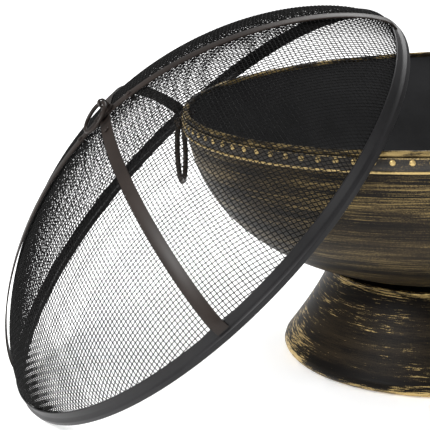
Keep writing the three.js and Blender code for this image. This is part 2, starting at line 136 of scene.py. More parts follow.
class FIREPIT_PG_screen(bpy.types.PropertyGroup):
    """Sizes of the spark screen and how it leans"""

    hoop_radius: length("Hoop radius", "Outside of the hoop", 0.373)
    hoop_height: length("Hoop height", "Height of the hoop's band", 0.022)
    rise: length("Dome rise", "From the foot of the dome to its top", 0.181)
    dome_round: FloatProperty(name="Dome roundness", description="2 is round on top", default=1.93)
    dome_edge: FloatProperty(name="Dome edge", description="0.5 is upright at its foot", default=0.75)
    pitch: length("Mesh pitch", "Distance between wires", 0.0057)
    wire: length("Wire radius", "Radius of a mesh wire", 0.00062)
    strap_width: length("Strap width", "Width of the two straps", 0.018)
    strap_turn: FloatProperty(
        name="Strap turn",
        description="From the edge that leans highest to the lower strap",
        default=math.radians(75.3),
        subtype="ANGLE",
    )
    lean: FloatProperty(
        name="Lean", description="Hoop to ground", default=math.radians(41.75), subtype="ANGLE"
    )
    towards: FloatProperty(
        name="Towards", description="Way it leans", default=math.radians(201.2), subtype="ANGLE"
    )


class FIREPIT_PG_finish(bpy.types.PropertyGroup):
    """Colours of the finishes"""

    black: shade("Black", "Paint under the rubbed gold", (0.0035, 0.0026, 0.0018))
    umber: shade("Umber", "Brown glaze over the black", (0.026, 0.018, 0.009))
    gold: shade("Gold", "Rubbed gold paint", (0.58, 0.42, 0.17))
    bronze: shade("Bronze", "Dark bronze of the handles", (0.030, 0.0205, 0.013))
    soot: shade("Soot", "Heat-proof black inside", (0.020, 0.020, 0.021))
    hoop: shade("Hoop", "Satin charcoal of the hoop", (0.013, 0.0125, 0.0135))
    strap: shade("Strap", "Dark bronze of the straps", (0.022, 0.0155, 0.0125))
    mesh: shade("Mesh", "Blackened wire", (0.004, 0.004, 0.004))
    floor: shade("Floor", "Pale studio floor", (0.92, 0.92, 0.92))


# ---- Shader maths -----------------------------------------------------------------------------


class Sock:
    """A shader socket that takes part in Python expressions."""

    def __init__(self, shader, socket):
        self.shader = shader
        self.socket = socket

    def _math(self, operation, *values):
        return self.shader.node("ShaderNodeMath", {"operation": operation}, dict(enumerate(values)))

    def __add__(self, other):
        return self._math("ADD", self, other)

    def __sub__(self, other):
        return self._math("SUBTRACT", self, other)

    def __rsub__(self, other):
        return self._math("SUBTRACT", other, self)

    def __mul__(self, other):
        return self._math("MULTIPLY", self, other)

    def between(self, low, high):
        """0 below low, 1 above high, and smooth between them."""
        return self.shader.node(
            "ShaderNodeMapRange",
            {"interpolation_type": "SMOOTHSTEP"},
            {"Value": self, "From Min": low, "From Max": high},
        )

    __radd__ = __add__
    __rmul__ = __mul__


class Shader:
    """A material made of nodes, with one method that adds any node."""

    def __init__(self, name):
        self.material = bpy.data.materials.new(name)
        self.material.use_nodes = True
        self.tree = self.material.node_tree
        self.surface = self.tree.nodes["Principled BSDF"]
        self.place = self.node("ShaderNodeTexCoord", {}, {}, "Object")

    def node(self, kind, settings, values, output=0):
        made = self.tree.nodes.new(kind)
        for key, value in settings.items():
            setattr(made, key, value)
        for key, value in values.items():
            self.link(made.inputs[key], value)
        return Sock(self, made.outputs[output])

    def link(self, target, value):
        if isinstance(value, Sock):
            self.tree.links.new(value.socket, target)
        else:
            target.default_value = value

    def coords(self, scale, turn=(0, 0, 0), at=(0, 0, 0)):
        return self.node(
            "ShaderNodeMapping",
            {"vector_type": "POINT"},
            {"Vector": self.place, "Scale": scale, "Rotation": turn, "Location": at},
        )

    def noise(self, vector, scale, detail=4.0, rough=0.55, distortion=0.0):
        return self.node(
            "ShaderNodeTexNoise",
            {},
            {
                "Vector": vector,
                "Scale": scale,
                "Detail": detail,
                "Roughness": rough,
                "Distortion": distortion,
            },
        )

    def mix(self, factor, low, high):
        """Blends two colours."""
        made = self.tree.nodes.new("ShaderNodeMix")
        made.data_type = "RGBA"
        for key, value in ((0, factor), (6, low), (7, high)):
            self.link(made.inputs[key], rgba(value) if isinstance(value, tuple) else value)
        return Sock(self, made.outputs[2])

    def bump(self, height, strength, distance):
        return self.node(
            "ShaderNodeBump",
            {},
            {"Height": height, "Strength": strength, "Distance": distance},
            "Normal",
        )

    def finish(self, **values):
        """Sets the surface's sockets; a key's underscores are spaces."""
        for key, value in values.items():
            name = key.replace("_", " ")
            self.link(self.surface.inputs[name], rgba(value) if isinstance(value, tuple) else value)
        return self.material


def rgba(colour):
    return (*colour[:3], 1.0)


def colours():
    group = bpy.context.scene.firepit_finish
    return {key: tuple(getattr(group, key)) for key in group.__annotations__}


def rubbed_gold(name, stroke, long, cover, soft, patches, broken, shine, edges=(), painted_left_highlight=0.0):
    """Black paint with gold rubbed round it in level strokes.

    stroke: strokes to a metre of height, and long: the same along them
    cover: how high the noise must be to show gold, and soft: how slowly it then fades in
    patches: how strongly the gold gathers in places
    broken: how far its grain breaks the strokes
    shine: how much of the gold's colour shows at most
    edges: height, spread and strength of level bands with more gold; the band along the pedestal's
    rounded foot is a painted highlight as well as rubbed gold
    painted_left_highlight: how much more gold is painted on the left side, by the left handle, as a
    painted highlight where the key light falls
    """
    c = colours()
    s = Shader(name)
    fine = s.noise(s.coords((long, long, stroke * 2.2), (0.012, 0.009, 0)), 1.0, 4.0, 0.7, 0.1)
    broad = s.noise(s.coords((3, 3, stroke * 0.16), (-0.01, 0.02, 0)), 1.0, 3.0)
    grain = s.noise(s.coords((620, 620, 900)), 1.0, 2.0, 0.7)
    patch = s.noise(s.coords((6, 6, 12), at=(0.3, 0.1, 0.7)), 1.0, 2.0)
    height = s.node("ShaderNodeSeparateXYZ", {}, {"Vector": s.place}, "Z")
    left = BOWL_AXIS.x - s.node("ShaderNodeSeparateXYZ", {}, {"Vector": s.place}, "X")
    level = fine * 0.7 + broad * 0.3 + (patch - 0.5) * patches + (grain - 0.5) * broken
    # Bands of more gold at given heights; along the pedestal's rounded foot this is a painted
    # highlight, partly rubbed gold.
    for at, spread, strength in edges:
        away = s.node("ShaderNodeMath", {"operation": "ABSOLUTE"}, {0: height - at})
        level = level + (1.0 - away.between(0.0, spread)) * strength
    # Painted highlight: more gold on the left side, where the key light falls.
    level = level + left.between(0.15, 0.25) * painted_left_highlight
    gold = level.between(cover, cover + soft)
    glaze = (fine * 0.4 + broad * 0.6 + (grain - 0.5) * 0.3).between(0.40, 0.62)
    ground = s.mix(glaze, c["black"], c["umber"])
    return s.finish(
        Base_Color=s.mix(gold * shine, ground, c["gold"]),
        Metallic=gold * 0.5,
        Roughness=0.48 - gold * 0.1 + (grain - 0.5) * 0.12,
        Normal=s.bump(fine * 0.6 + grain * 0.4, 0.3, 0.0005),
        Specular_IOR_Level=0.12,
    )


def gilded_band():
    """Black paint, gold on what stands out, speckled between the studs."""
    c = colours()
    s = Shader("gilded_band")
    raised = s.node("ShaderNodeAttribute", {"attribute_name": "raised"}, {}, "Fac")
    grain = s.noise(s.coords((380, 380, 460)), 1.0, 3.0, 0.7)
    streak = s.noise(s.coords((20, 20, 330), (0.02, 0.01, 0)), 1.0, 4.0, 0.6)
    patch = s.noise(s.coords((9, 9, 9)), 1.0, 2.0)
    gold = (raised * 0.3 + grain * 0.5 + streak * 0.25 + (patch - 0.5) * 0.3).between(0.48, 0.72)
    ground = s.mix((streak * 0.5 + grain * 0.5).between(0.4, 0.62), c["black"], c["umber"])
    return s.finish(
        Base_Color=s.mix(gold * 0.9, ground, c["gold"]),
        Metallic=gold * 0.55,
        Roughness=0.5 - gold * 0.1,
        Normal=s.bump(grain, 0.35, 0.0006),
        Specular_IOR_Level=0.45,
    )


def satin_paint(name, colour, rough, worn, grain_size=700, gloss=0.22):
    """Powder-coated steel: fine grain, faint cloudiness and lighter rubbed spots."""
    s = Shader(name)
    cloud = s.noise(s.coords((14, 14, 14)), 1.0, 4.0)
    grain = s.noise(s.coords((grain_size, grain_size, grain_size)), 1.0, 2.0, 0.6)
    light = tuple(min(1.0, v * 2.3 + 0.012) for v in colour)
    dark = tuple(v * 0.62 for v in colour)
    base = s.mix((cloud * 0.75 + grain * 0.25).between(0.34, 0.64), dark, colour)
    rubbed = (grain * 0.5 + cloud * 0.5).between(0.62, 0.80) * worn
    return s.finish(
        Base_Color=s.mix(rubbed, base, light),
        Roughness=rough + (cloud - 0.5) * 0.16 + (grain - 0.5) * 0.1,
        Normal=s.bump(grain * 0.7 + cloud * 0.3, 0.22, 0.0004),
        Specular_IOR_Level=gloss,
    )


MAKERS = {
    "bowl_gold": lambda c: rubbed_gold(
        "bowl_gold",
        stroke=430,
        long=9,
        cover=0.535,
        soft=0.12,
        patches=0.20,
        broken=0.30,
        shine=0.30,
        edges=[(0.318, 0.045, 0.045)],
    ),
    "pedestal_gold": lambda c: rubbed_gold(
        "pedestal_gold",
        stroke=380,
        long=34,
        cover=0.575,
        soft=0.06,
        patches=0.42,
        broken=0.14,
        shine=1.0,
        # Painted highlight along the rounded foot, with rubbed gold; more gold under the neck lip.
        edges=[(0.006, 0.012, 0.06), (FLOOR_UNDER, 0.010, 0.09)],
        # Painted highlight: more gold on the pedestal's left side, towards the key light.
        painted_left_highlight=0.09,
    ),
    # The rim's roll: rubbed gold with a painted highlight, brighter than the bowl.
    "rim_gold": lambda c: rubbed_gold(
        "rim_gold", stroke=60, long=20, cover=0.46, soft=0.14, patches=0.2, broken=0.14, shine=0.45
    ),
    "band_gold": lambda c: gilded_band(),
    "bronze": lambda c: satin_paint("bronze", c["bronze"], 0.42, 0.6),
    "soot": lambda c: satin_paint("soot", c["soot"], 0.8, 0.2, 420, 0.2),
    "hoop": lambda c: satin_paint("hoop", c["hoop"], 0.42, 0.3),
    "strap": lambda c: satin_paint("strap", c["strap"], 0.46, 0.4),
    "wire": lambda c: satin_paint("wire", c["mesh"], 0.7, 0.1, 900, 0.15),
    "fastener": lambda c: satin_paint("fastener", c["strap"], 0.4, 0.5, 500),
}


def finish_of(key):
    found = bpy.data.materials.get(key)
    return found or MAKERS[key](colours())


# ---- Shapes -----------------------------------------------------------------------------------


def arc(x, y, radius, start, end, steps):
    """Points of an arc in degrees."""
    turns = [math.radians(start + (end - start) * i / steps) for i in range(steps + 1)]
    return [(x + radius * math.cos(t), y + radius * math.sin(t)) for t in turns]


def spun(profile, steps=192, closed=True, middle=(0, 0)):
    """A piece turned about a vertical line, from points of radius and height."""
    bm = bmesh.new()
    verts = [bm.verts.new((r, 0, z)) for r, z in profile]
    edges = [bm.edges.new(pair) for pair in zip(verts, verts[1:])]
    if closed:
        edges.append(bm.edges.new((verts[-1], verts[0])))
    bmesh.ops.spin(
        bm,
        geom=verts + edges,
        cent=(0, 0, 0),
        axis=(0, 0, 1),
        dvec=(0, 0, 0),
        angle=2 * math.pi,
        steps=steps,
        use_merge=True,
        use_duplicate=False,
    )
    tidy(bm)
    bmesh.ops.translate(bm, verts=bm.verts, vec=(*middle, 0))
    return bm


def tidy(bm, distance=2e-6):
    bmesh.ops.remove_doubles(bm, verts=bm.verts, dist=distance)
    bmesh.ops.recalc_face_normals(bm, faces=bm.faces)


def bevelled(bm, width, segments=2, angle=40):
    sharp = [e for e in bm.edges if e.is_manifold and e.calc_face_angle(0) > math.radians(angle)]
    bmesh.ops.bevel(
        bm,
        geom=sharp,
        offset=width,
        offset_type="OFFSET",
        affect="EDGES",
        segments=segments,
        profile=0.5,
        material=-1,
        clamp_overlap=True,
    )


def moved(bm, matrix):
    bmesh.ops.transform(bm, matrix=matrix, verts=bm.verts)
    return bm


def merged(*parts):
    """Several bmeshes in one, and the rest freed."""
    whole = bmesh.new()
    for part in parts:
        mesh = bpy.data.meshes.new("part")
        part.to_mesh(mesh)
        part.free()
        whole.from_mesh(mesh)
        bpy.data.meshes.remove(mesh)
    return whole


def torus(major, minor, around=72, section=16):
    return spun([(major + x, z) for x, z in arc(0, 0, minor, 0, 360, section)[:-1]], around)


def rod(start, end, radius, sides=20):
    """A round rod with softened ends."""
    start, end = Vector(start), Vector(end)
    bm = bmesh.new()
    bmesh.ops.create_cone(
        bm,
        cap_ends=True,
        segments=sides,
        radius1=radius,
        radius2=radius,
        depth=(end - start).length,
    )
    bevelled(bm, radius * 0.25, 2, 60)
    turn = (end - start).to_track_quat("Z", "Y").to_matrix().to_4x4()
    return moved(bm, Matrix.Translation((start + end) / 2) @ turn)


def plate(outline, thickness, holes=(), bevel=0.0003):
    """A flat plate from an outline in X and Y, its underside at zero, with round holes."""
    bm = bmesh.new()
    loops = [outline] + [arc(x, y, r, 0, 360, 24)[:-1] for x, y, r in holes]
    edges = []
    for loop in loops:
        verts = [bm.verts.new((x, y, 0)) for x, y in loop]
        edges += [bm.edges.new((verts[i - 1], verts[i])) for i in range(len(verts))]
    bmesh.ops.triangle_fill(bm, edges=edges, use_beauty=True, use_dissolve=False)
    faces = bmesh.ops.extrude_face_region(bm, geom=bm.faces[:])
    lifted = [v for v in faces["geom"] if isinstance(v, bmesh.types.BMVert)]
    bmesh.ops.translate(bm, verts=lifted, vec=(0, 0, thickness))
    bmesh.ops.recalc_face_normals(bm, faces=bm.faces)
    bevelled(bm, bevel, 2, 50)
    return bm


def rounded(x0, y0, x1, y1, r, steps=6):
    corners = ((x1 - r, y0 + r, -90), (x1 - r, y1 - r, 0), (x0 + r, y1 - r, 90), (x0 + r, y0 + r, 180))
    return [p for x, y, a in corners for p in arc(x, y, r, a, a + 90, steps)]


def domed_head(shank, height=1.1):
    """A low round bolt head above zero, with the shank hidden below it."""
    head = shank * 2.1
    rise = shank * height
    turns = np.linspace(0, math.pi / 2, 8)
    curve = [(head * math.cos(t), rise * (0.25 + 0.75 * math.sin(t))) for t in turns]
    return spun([(0, 0), (head * 0.97, 0), *curve[:-1], (0, rise)], 28)


def piece(name, bm, material, body, stands_for=(), smooth=38):
    """Makes the finished object: it sits at the origin and rides on its body."""
    mesh = bpy.data.meshes.new(name)
    bm.to_mesh(mesh)
    bm.free()
    return dress(name, mesh, material, body, stands_for, smooth)


def dress(name, mesh, material, body, stands_for=(), smooth=38):
    mesh.shade_smooth()
    mesh.set_sharp_from_angle(angle=math.radians(smooth))
    mesh.materials.append(finish_of(material))
    made = bpy.data.objects.new(name, mesh)
    bpy.context.scene.collection.objects.link(made)
    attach(made, body)
    if stands_for:
        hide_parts(*([stands_for] if isinstance(stands_for, str) else stands_for))
    return made


def repaint(node, material):
    """Gives a CAD node that stays in view its finish."""
    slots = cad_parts[node].data.materials
    slots.clear()
    slots.append(finish_of(material))


def here():
    return (BOWL_AXIS.x, BOWL_AXIS.y)


def bowl_radius(z, inset=0.0):
    b = bpy.context.scene.firepit_bowl
    fall = (b.rim_height + b.shoulder - z) / (b.depth + b.shoulder - inset)
    return (b.rim_radius + b.wall - inset) * (1 - fall**b.fullness) ** (1 / b.fullness)


def screen_frame():
    """The leaning screen's own frame: Z up through its dome, X to the edge that leans highest."""
    p = bpy.context.scene.firepit_screen
    turn = Matrix.Rotation(p.towards + math.pi, 4, "Z") @ Matrix.Rotation(-p.lean, 4, "Y")
    back = turn.to_3x3().transposed()
    corners = np.array([back @ v.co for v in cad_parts["screen_hoop"].data.vertices])
    low, high = corners.min(0), corners.max(0)
    foot = Vector(((low[0] + high[0]) / 2, (low[1] + high[1]) / 2, low[2]))
    return turn @ Matrix.Translation(foot)


def dome_curve(radius, base, rise, steps):
    p = bpy.context.scene.firepit_screen
    out = np.cos(np.linspace(0, math.pi / 2, steps + 1))
    out[-1] = 0
    up = base + rise * (1 - out**p.dome_round) ** p.dome_edge
    return list(zip(radius * out, up))


# ---- Operators ----------------------------------------------------------------------------------


class FIREPIT_OT_pedestal(bpy.types.Operator):
    """Build the flared pedestal and finish the seat plate in its neck"""

    bl_idname = "firepit.pedestal"
    bl_label = "Pedestal"

    def execute(self, context):
        b = context.scene.firepit_bowl
        wall, lip, flange = 2.5 * MM, 2.8 * MM, 16 * MM
        neck = FLOOR_UNDER + 2.2 * MM
        falls = np.linspace(0, 1, 40)
        radii = b.neck_radius + (b.foot_radius - b.neck_radius) * falls**b.flare
        heights = neck + (b.foot_round - neck) * falls
        side = list(zip(radii, heights))[2:]
        foot = (b.foot_radius - b.foot_round, b.foot_round)
        profile = arc(*foot, b.foot_round, -90, -12, 10) + side[-2::-1]
        profile += arc(b.neck_radius - wall / 2, neck, lip, -60, 240, 16)
        profile += [(r - wall, z) for r, z in side[:-1]]
        profile += arc(*foot, b.foot_round - wall, -12, -90, 8)
        inner = foot[0] - flange
        profile += arc(inner, wall / 2, wall / 2, 90, 270, 6)
        bm = spun(profile, 224, middle=here())
        piece("pedestal_skirt", bm, "pedestal_gold", "pit", "pedestal")
        repaint("seat_plate", "soot")
        return {"FINISHED"}


class FIREPIT_OT_bowl(bpy.types.Operator):
    """Build the spun bowl with its rolled rim"""

    bl_idname = "firepit.bowl"
    bl_label = "Bowl"

    def execute(self, context):
        b = context.scene.firepit_bowl
        top = b.rim_height - b.rim_bead
        heights = FLOOR_UNDER + (top - FLOOR_UNDER) * np.linspace(0, 1, 64) ** 1.7
        outside = [(bowl_radius(z), z) for z in heights]
        inside = [(bowl_radius(z + b.wall, b.wall), z + b.wall) for z in heights[:-1]]
        bead = arc(b.rim_radius, b.rim_height, b.rim_bead, -55, 250, 22)
        shell = [(0, FLOOR_UNDER), *outside, *bead, *inside[::-1], (0, FLOOR_UNDER + b.wall)]
        bm = spun(shell, 256, closed=False)
        for face in bm.faces:
            middle = face.calc_center_median()
            inward = face.normal.xy.dot(middle.xy) < -1e-9
            # The rolled rim gets brighter gold: rubbed gold with a painted highlight line along the
            # roll.
            if middle.z > top - 0.5 * MM:
                face.material_index = 2
            elif inward or face.normal.z > 0.5:
                face.material_index = 1
        bmesh.ops.translate(bm, verts=bm.verts, vec=(*here(), 0))
        bowl = piece("bowl", bm, "bowl_gold", "pit", "fire_bowl")
        bowl.data.materials.append(finish_of("soot"))
        bowl.data.materials.append(finish_of("rim_gold"))
        return {"FINISHED"}


class FIREPIT_OT_rim_band(bpy.types.Operator):
    """Build the band under the rim, with its bead, groove and studs"""

    bl_idname = "firepit.rim_band"
    bl_label = "Rim band"

    def execute(self, context):
        b = context.scene.firepit_bowl
        inner = b.rim_radius + b.wall + 0.3 * MM
        outer = inner + 2 * MM
        top = b.rim_height - 4.3 * MM
        foot = top - 21 * MM
        profile = [
            (inner, foot),
            (outer - 0.8 * MM, foot),
            *arc(outer - 0.2 * MM, foot + 2 * MM, 1.7 * MM, -80, 85, 8),
            (outer - 0.3 * MM, foot + 4.2 * MM),
            (outer, foot + 5 * MM),
            (outer, top - 3.2 * MM),
            (outer - 0.3 * MM, top - 2.4 * MM),
            *arc(outer - 0.5 * MM, top - 1 * MM, 1 * MM, -40, 90, 4),
            (inner, top),
        ]
        bm = spun(profile, 256)
        raised = bm.verts.layers.float.new("raised")
        for vert in bm.verts:
            out = Vector(vert.co.xy).length - outer
            vert[raised] = max(0.0, min(1.0, 0.15 + out / (0.9 * MM)))
        stud_height = top - 6.3 * MM
        for i in range(b.stud_count):
            turn = Matrix.Rotation(2 * math.pi * (i + 0.125) / b.stud_count, 4, "Z")
            lie = Matrix.Translation((outer - 0.1 * MM, 0, stud_height)) @ Matrix.Rotation(
                math.pi / 2, 4, "Y"
            )
            flat = Matrix.Diagonal((1, 1, 0.62, 1))
            made = bmesh.ops.create_icosphere(
                bm, subdivisions=2, radius=b.stud_radius, matrix=turn @ lie @ flat
            )
            for vert in made["verts"]:
                vert[raised] = 0.9
        bmesh.ops.translate(bm, verts=bm.verts, vec=(*here(), 0))
        piece("stud_band", bm, "band_gold", "pit", "rim_band")
        return {"FINISHED"}


def eye_clip(bolts, width, back, front, wall, rise, hole, eye_wall, eye_width, corner):
    """A plate with an upright eye. The eye's middle is the origin and the ring's wire lies on Y."""
    base = plate(rounded(-back, -width / 2, front, width / 2, corner), wall, bolts)
    moved(base, Matrix.Translation((0, 0, -rise - wall)))
    outer = hole + eye_wall
    sink = -rise - wall / 2
    outline = [(-outer, sink), (outer, sink), *arc(0, 0, outer, 0, 180, 20)]
    lug = plate(outline, eye_width, [(0, 0, hole)], 0.0006)
    upright = Matrix.Translation((0, eye_width / 2, 0)) @ Matrix.Rotation(math.pi / 2, 4, "X")
    return merged(base, moved(lug, upright))


class FIREPIT_OT_handles(bpy.types.Operator):
    """Build the two drop-ring handles with their brackets and bolts"""

    bl_idname = "firepit.handles"
    bl_label = "Handles"

    major = 45 * MM
    wire = 4 * MM
    bolt_rise = 13 * MM
    bolt_aside = 11 * MM

    def execute(self, context):
        for side, way in (("right", 1), ("left", -1)):
            low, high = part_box(f"handle_ring_{side}")
            middle = (low + high) / 2
            ring = moved(torus(self.major, self.wire), Matrix.Rotation(math.pi / 2, 4, "Y"))
            moved(ring, Matrix.Translation(middle))
            rides, cad = f"handle_{side}", f"handle_ring_{side}"
            piece(f"ring_{side}", ring, "bronze", rides, cad)
            pivot = Vector((middle.x, middle.y, middle.z + self.major))
            bore = BRACKET_BOLT + SHANK_FIT
            holes = [(-self.bolt_rise, y, bore) for y in (-self.bolt_aside, self.bolt_aside)]
            upright = Matrix.Rotation(math.pi / 2, 4, "Y")
            turn = Matrix.Rotation(0 if way > 0 else math.pi, 4, "Z") @ upright
            clip = moved(eye_clip(holes, **HANDLE_CLIP), Matrix.Translation(pivot) @ turn)
            cad = f"handle_bracket_{side}"
            piece(f"bracket_{side}", clip, "bronze", "pit", cad)
            for i in (1, 2):
                cad = f"handle_bolt_{side}_{i}"
                low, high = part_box(cad)
                face = pivot.x - way * HANDLE_CLIP["rise"]
                spot = Vector((face, (low.y + high.y) / 2, (low.z + high.z) / 2))
                head = moved(domed_head(BRACKET_BOLT), turn)
                moved(head, Matrix.Translation(spot))
                reach = high.x - low.x - 3 * MM
                shank = rod(spot, (spot.x - way * reach, spot.y, spot.z), BRACKET_BOLT * 0.98)
                piece(cad + "_round", merged(head, shank), "fastener", "pit", cad)
                repaint(f"handle_nut_{side}_{i}", "fastener")
        return {"FINISHED"}


class FIREPIT_OT_grate(bpy.types.Operator):
    """Build the loose log grate's ring, bars, bearers and legs"""

    bl_idname = "firepit.grate"
    bl_label = "Log grate"

    def execute(self, context):
        radius = 5 * MM
        low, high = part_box("grate_ring")
        middle = (low + high) / 2
        ring = moved(torus(190 * MM, radius, 128), Matrix.Translation(middle))
        piece("ring_of_grate", ring, "soot", "grate", "grate_ring")
        for node in sorted(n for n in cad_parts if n.startswith("grate_") and n != "grate_ring"):
            low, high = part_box(node)
            middle = (low + high) / 2
            sizes = high - low
            axis = max(range(3), key=lambda k: sizes[k])
            half = Vector([sizes[k] / 2 if k == axis else 0 for k in range(3)])
            bm = rod(middle - half, middle + half, radius, 24)
            piece(node.replace("grate_", "log_"), bm, "soot", "grate", node)
        for i in range(1, 5):
            repaint(f"seat_bolt_{i}", "fastener")
            repaint(f"seat_nut_{i}", "fastener")
        return {"FINISHED"}


class FIREPIT_OT_hoop(bpy.types.Operator):
    """Build the rolled hoop of the spark screen"""

    bl_idname = "firepit.hoop"
    bl_label = "Screen hoop"

    def execute(self, context):
        p = context.scene.firepit_screen
        r, h = p.hoop_radius, p.hoop_height
        wall, step = 2.5 * MM, 4 * MM
        upper = r - step
        profile = [
            *arc(r - 1 * MM, 1 * MM, 1 * MM, -90, 0, 4),
            *arc(r - 1.6 * MM, 6 * MM, 1.6 * MM, 0, 60, 4),
            (upper + 1.1 * MM, 9.5 * MM),
            (upper + 0.3 * MM, 11 * MM),
            (upper, 12.5 * MM),
            *arc(upper - wall / 2, h - wall / 2, wall / 2, 0, 180, 8),
            (upper - wall, 10.4 * MM),
            (r - wall, 6.2 * MM),
            *arc(r - wall + 0.8 * MM, 0.8 * MM, 0.8 * MM, 180, 270, 3),
        ]
        bm = moved(spun(profile, 288), screen_frame())
        piece("hoop", bm, "hoop", "screen", "screen_hoop")
        return {"FINISHED"}


def on_surface(radius, rise, base, roundness, edge, points):
    """Below zero inside the dome and its upright skirt, above zero outside."""
    r = np.hypot(points[..., 0], points[..., 1]) / radius
    z = np.maximum(points[..., 2] - base, 0) / rise
    return r**roundness + z ** (1 / edge) - 1


def surface_normal(radius, rise, base, roundness, edge, points):
    r = np.hypot(points[..., 0], points[..., 1])
    z = np.maximum(points[..., 2] - base, 0) / rise
    out = roundness * (r / radius) ** (roundness - 1) / radius
    up = z ** (1 / edge - 1) / edge / rise
    safe = np.maximum(r, 1e-9)
    normal = np.stack([points[..., 0] / safe * out, points[..., 1] / safe * out, up], -1)
    return normal / np.linalg.norm(normal, axis=-1, keepdims=True)


def woven_quarter(shape, pitch, end):
    """Crossings of a square mesh laid over the dome: each is one pitch along its two wires."""

    def step(middle, reach, outward):
        normal = surface_normal(*shape, middle)
        outward = outward - (outward * normal).sum(-1, keepdims=True) * normal
        outward = outward / np.linalg.norm(outward, axis=-1, keepdims=True)
        low, high = np.full(len(middle), -0.7), np.full(len(middle), 1.3)
        for _ in range(34):
            mid = (low + high) / 2
            spot = middle + reach[:, None] * (
                np.cos(mid)[:, None] * outward - np.sin(mid)[:, None] * normal
            )
            above = on_surface(*shape, spot) > 0
            low, high = np.where(above, mid, low), np.where(above, high, mid)
        return spot

    radius, rise, base = shape[:3]
    count = int(1.75 * radius / pitch)
    net = np.full((count, count, 3), np.nan)
    net[0, 0] = (0, 0, base + rise)
    for axis in (0, 1):
        spot, way = net[0, 0], np.eye(3)[axis]
        for i in range(1, count):
            spot = step(spot[None], np.array([pitch]), way[None])[0]
            if spot[2] < end:
                break
            if axis:
                net[0, i] = spot
            else:
                net[i, 0] = spot
    for total in range(2, 2 * count - 1):
        rows = np.arange(max(1, total - count + 1), min(count, total))
        cols = total - rows
        a, b, c = net[rows, cols - 1], net[rows - 1, cols], net[rows - 1, cols - 1]
        known = ~np.isnan(a[:, 0] + b[:, 0] + c[:, 0])
        if not known.any():
            continue
        rows, cols, a, b, c = rows[known], cols[known], a[known], b[known], c[known]
        gap = np.linalg.norm(b - a, axis=-1)
        reach = np.sqrt(np.maximum(pitch**2 - gap**2 / 4, 1e-10))
        middle = (a + b) / 2
        across = (b - a) / gap[:, None]
        outward = middle - c
        outward -= (outward * across).sum(-1, keepdims=True) * across
        spot = step(middle, reach, outward)
        low = spot[:, 2] < end
        spot[low] = np.nan
        net[rows, cols] = spot
    return net


class FIREPIT_OT_mesh(bpy.types.Operator):
    """Weave the wire mesh over the dome, one piece for each way of the weave"""

    bl_idname = "firepit.mesh"
    bl_label = "Wire mesh"

    def execute(self, context):
        p = context.scene.firepit_screen
        radius = p.hoop_radius - 7.9 * MM
        base = p.hoop_height - 3 * MM
        shape = (radius, p.rise - 0.8 * MM, base, p.dome_round, p.dome_edge)
        quarter = woven_quarter(shape, p.pitch, p.hoop_height - 10 * MM)
        n = len(quarter)
        whole = np.full((2 * n - 1, 2 * n - 1, 3), np.nan)
        i, j = np.meshgrid(np.arange(n), np.arange(n), indexing="ij")
        x, y, z = quarter[..., 0], quarter[..., 1], quarter[..., 2]
        for sx, sy in ((1, 1), (-1, 1), (-1, -1), (1, -1)):
            whole[n - 1 + sx * i, n - 1 + sy * j] = np.stack([sx * x, sy * y, z], -1)
        normal = surface_normal(*shape, whole)
        rows, cols = np.indices(whole.shape[:2])
        weave = np.where((rows + cols) % 2, 1.0, -1.0)[..., None] * p.wire * normal
        place = screen_frame() @ Matrix.Rotation(p.strap_turn, 4, "Z")
        for name, net in (("mesh_warp", whole + weave), ("mesh_weft", (whole - weave).swapaxes(0, 1))):
            curve = bpy.data.curves.new(name, "CURVE")
            curve.dimensions = "3D"
            curve.bevel_depth = p.wire
            curve.bevel_resolution = 0
            curve.use_fill_caps = True
            for line in net:
                line = line[~np.isnan(line[:, 0])]
                if len(line) < 2:
                    continue
                spline = curve.splines.new("POLY")
                spline.points.add(len(line) - 1)
                spline.points.foreach_set("co", np.c_[line, np.ones(len(line))].ravel())
            holder = bpy.data.objects.new(name + "_lines", curve)
            context.scene.collection.objects.link(holder)
            context.view_layer.update()
            solid = holder.evaluated_get(context.evaluated_depsgraph_get())
            mesh = bpy.data.meshes.new_from_object(solid)
            bpy.data.objects.remove(holder)
            bpy.data.curves.remove(curve)
            mesh.name = name
            mesh.transform(place)
            stands_for = "screen_mesh" if name == "mesh_warp" else ()
            dress(name, mesh, "wire", "screen", stands_for, 180)
        return {"FINISHED"}


class FIREPIT_OT_straps(bpy.types.Operator):
    """Bend the two flat straps over the dome and set their bolts"""

    bl_idname = "firepit.straps"
    bl_label = "Straps"

    def execute(self, context):
        p = context.scene.firepit_screen
        wall = 2.2 * MM
        base = p.hoop_height + 0.3 * MM
        dome_top = p.hoop_height - 3 * MM + p.rise
        for i, name in enumerate(("under", "over")):
            lift = (0.6 * MM, 1.2 * MM + wall)[i]
            radius = p.hoop_radius - 4 * MM + 0.3 * MM
            half = dome_curve(radius, base, dome_top + lift - base, 48)
            half = [(radius, p.hoop_height - 10 * MM), (radius, p.hoop_height - 5 * MM), *half]
            line = half + [(-x, z) for x, z in half[-2::-1]]
            bm = bmesh.new()
            bmesh.ops.create_grid(bm, x_segments=len(line) - 1, y_segments=2, size=1)
            for vert in bm.verts:
                x, z = line[round((vert.co.x + 1) / 2 * (len(line) - 1))]
                vert.co = (x, vert.co.y * p.strap_width / 2, z)
            bmesh.ops.recalc_face_normals(bm, faces=bm.faces)
            if sum(f.normal.z for f in bm.faces) < 0:
                bmesh.ops.reverse_faces(bm, faces=bm.faces)
            bmesh.ops.solidify(bm, geom=bm.faces[:], thickness=-wall)
            bmesh.ops.recalc_face_normals(bm, faces=bm.faces)
            bevelled(bm, 0.5 * MM, 2, 60)
            turn = Matrix.Rotation(p.strap_turn + i * math.pi / 2, 4, "Z")
            moved(bm, screen_frame() @ turn)
            piece(f"strap_{name}_dome", bm, "strap", "screen", f"strap_{name}")
        for i in range(1, 5):
            swap_bolt(f"strap_{i}_bolt", STRAP_BOLT)
            repaint(f"strap_{i}_nut", "fastener")
        swap_bolt("crown_bolt", CROWN_BOLT)
        repaint("crown_nut", "fastener")
        return {"FINISHED"}


